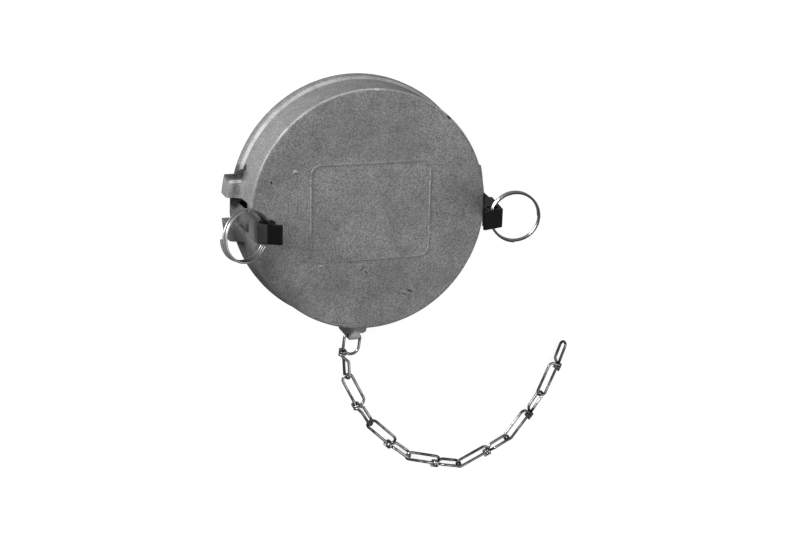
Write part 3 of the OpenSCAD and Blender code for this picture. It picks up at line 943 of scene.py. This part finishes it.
class DUSTCAP_OT_chain(bpy.types.Operator):
    """Bend each link of the chain from one knotted wire"""
    bl_idname = "dustcap.chain"
    bl_label = "Knotted chain"

    def execute(self, context):
        look = scene_look(context, "chain")
        steel = wire_material("chain_steel", look.steel, look.grime, roughness=0.18,
                              dullness=0.85)
        links = len(LINK_ROLLS)
        places = [JOINT_PLACES["chain_lug_swing"]]
        places += [JOINT_PLACES["chain_hinge_%d" % number] for number in range(2, links + 1)]
        places.append(MOUNT_PLACES["chain_end"])
        for number, (roll, narrow_roll) in enumerate(LINK_ROLLS, start=1):
            start, end = places[number - 1], places[number]
            line = end - start
            heading = math.atan2(line[1], line[0])
            twist = math.radians(narrow_roll - roll)
            if number == 1:
                path = link_path(look, line.length, look.first_wide, 0.0, look.first_corner,
                                 look.first_skew, twist)
            else:
                path = link_path(look, line.length, look.wide, look.wire + look.gap, 0.0,
                                 look.skew, twist)
            place = (Matrix.Translation(start) @ Matrix.Rotation(heading, 4, "Z")
                     @ Matrix.Rotation(math.radians(roll), 4, "X"))
            piece = wire_piece("knotted_link_%d" % number, put(path, place), look.wire, steel)
            stand_for(piece, "link_%d" % number, "chain_link_%d" % number)
        return {"FINISHED"}


# Each lamp's place and width, in metres. Both point at the origin, in the cap's mouth
KEY_LAMP = ((-1.22, 0.72, 0.42), 0.6)
FILL_LAMP = ((0.50, -0.14, 0.42), 0.7)

# The camera's place in metres, and the directions to its right and its back, fitted to the photograph
CAMERA_PLACE = (-0.23433, 0.18349, 0.71889)
CAMERA_RIGHT = (0.9403, 0.0266, 0.3393)
CAMERA_BACK = (-0.3324, 0.2864, 0.8986)

# Half the floor's width, and how far it lies below the part, in metres
FLOOR_HALF = 4.0
FLOOR_DROP = 0.2 * MM


class DUSTCAP_OT_stage(bpy.types.Operator):
    """Set the floor, the lamps, the world and the camera"""
    bl_idname = "dustcap.stage"
    bl_label = "Stage"

    def execute(self, context):
        look = scene_look(context, "stage")
        scene = context.scene
        self.floor(look)
        self.world(scene)
        self.lamp("key_lamp", *KEY_LAMP, look.key)
        self.lamp("fill_lamp", *FILL_LAMP, look.fill)
        self.camera(scene, look)
        scene.view_settings.view_transform = "Standard"
        return {"FINISHED"}

    def floor(self, look):
        """A pale floor that the camera sees as white, and that isn't there from below."""
        seen_lift, mirrored_lift = 0.75, 0.10
        mesh = bpy.data.meshes.new("floor")
        mesh.from_pydata([(x * FLOOR_HALF, y * FLOOR_HALF, -FLOOR_DROP)
                          for x, y in ((-1, -1), (1, -1), (1, 1), (-1, 1))], [], [(0, 1, 2, 3)])
        material, tree, shader, place = new_material("pale_floor")
        tree.nodes.remove(place.node)
        shader.inputs["Base Color"].default_value = (*look.floor, 1.0)
        shader.inputs["Roughness"].default_value = 0.9
        shader.inputs["Specular IOR Level"].default_value = 0.1
        ray = add(tree, "ShaderNodeLightPath").outputs
        lift = maths(tree, "ADD", maths(tree, "MULTIPLY", ray["Is Camera Ray"], seen_lift),
                     maths(tree, "MULTIPLY", ray["Is Glossy Ray"], mirrored_lift))
        glow = add(tree, "ShaderNodeEmission", {"Color": (1, 1, 1, 1), "Strength": lift})
        both = add(tree, "ShaderNodeAddShader", {0: shader.outputs[0], 1: glow.outputs[0]})
        below = add(tree, "ShaderNodeNewGeometry").outputs["Backfacing"]
        clear = add(tree, "ShaderNodeBsdfTransparent")
        shown = add(tree, "ShaderNodeMixShader", {
            0: below, 1: both.outputs[0], 2: clear.outputs[0]})
        tree.links.new(shown.outputs[0], tree.nodes["Material Output"].inputs["Surface"])
        mesh.materials.append(material)
        new_object("floor", mesh)

    def world(self, scene):
        """A soft light from above that fades to the sides, in front of a white background."""
        dim, overhead, mirrored_overhead = 0.03, 0.70, 1.3
        world = bpy.data.worlds.new("plain_studio")
        world.use_nodes = True
        tree = world.node_tree
        tree.nodes.clear()
        way = add(tree, "ShaderNodeTexCoord").outputs["Generated"]
        height = add(tree, "ShaderNodeSeparateXYZ", {0: way}).outputs["Z"]
        ray = add(tree, "ShaderNodeLightPath").outputs
        plain = remap(tree, height, 0.20, 0.90, dim, overhead)
        in_mirrors = remap(tree, height, 0.45, 0.95, dim, mirrored_overhead)
        level = add(tree, "ShaderNodeMix", {0: ray["Is Glossy Ray"], 2: plain, 3: in_mirrors},
                    data_type="FLOAT").outputs[0]
        shown = add(tree, "ShaderNodeMix", {0: ray["Is Camera Ray"], 2: level, 3: 1.0},
                    data_type="FLOAT").outputs[0]
        light = add(tree, "ShaderNodeBackground", {"Color": (1, 1, 1, 1), "Strength": shown})
        out = add(tree, "ShaderNodeOutputWorld", {"Surface": light.outputs[0]})
        out.is_active_output = True
        scene.world = world

    def lamp(self, name, place, size, power):
        """A square lamp that points at the origin."""
        data = bpy.data.lights.new(name, "AREA")
        data.shape = "SQUARE"
        data.size = size
        data.energy = power
        lamp = bpy.data.objects.new(name, data)
        lamp.location = place
        lamp.rotation_euler = (-Vector(place)).to_track_quat("-Z", "Y").to_euler()
        bpy.context.scene.collection.objects.link(lamp)

    def camera(self, scene, look):
        """The camera, with its three directions made square to each other."""
        data = bpy.data.cameras.new("photo_camera")
        data.sensor_width = 36.0
        data.lens = look.lens
        data.clip_start = 0.01
        camera = bpy.data.objects.new("photo_camera", data)
        right = Vector(CAMERA_RIGHT).normalized()
        back = Vector(CAMERA_BACK).normalized()
        up = back.cross(right).normalized()
        right = up.cross(back)
        turn = Matrix((right, up, back)).transposed().to_4x4()
        camera.matrix_world = Matrix.Translation(CAMERA_PLACE) @ turn
        scene.collection.objects.link(camera)
        scene.camera = camera


class DUSTCAP_PT_panel(bpy.types.Panel):
    """Lists the steps that build the dust cap"""
    bl_idname = "DUSTCAP_PT_panel"
    bl_label = "Dust Cap"
    bl_space_type = "VIEW_3D"
    bl_region_type = "UI"
    bl_category = "Dust Cap"

    def draw(self, context):
        for operator in OPERATORS:
            self.layout.operator(operator.bl_idname)
        for name, group in GROUPS.items():
            box = self.layout.box()
            box.label(text=name.capitalize())
            for key in group.__annotations__:
                box.prop(scene_look(context, name), key)


GROUPS = {"casting": DustCapCasting, "levers": DustCapLevers, "rings": DustCapRings,
          "chain": DustCapChain, "stage": DustCapStage}
OPERATORS = (DUSTCAP_OT_casting, DUSTCAP_OT_gasket, DUSTCAP_OT_pins, DUSTCAP_OT_levers,
             DUSTCAP_OT_rings, DUSTCAP_OT_chain, DUSTCAP_OT_stage)


def register():
    for kind in (*GROUPS.values(), *OPERATORS, DUSTCAP_PT_panel):
        bpy.utils.register_class(kind)
    for name, group in GROUPS.items():
        setattr(bpy.types.Scene, "dust_cap_" + name, bpy.props.PointerProperty(type=group))


def unregister():
    for name in GROUPS:
        delattr(bpy.types.Scene, "dust_cap_" + name)
    for kind in reversed((*GROUPS.values(), *OPERATORS, DUSTCAP_PT_panel)):
        bpy.utils.unregister_class(kind)


def main():
    register()
    bpy.ops.dustcap.casting()
    bpy.ops.dustcap.gasket()
    bpy.ops.dustcap.pins()
    bpy.ops.dustcap.levers()
    bpy.ops.dustcap.rings()
    bpy.ops.dustcap.chain()
    bpy.ops.dustcap.stage()


if __name__ == "__main__":
    main()
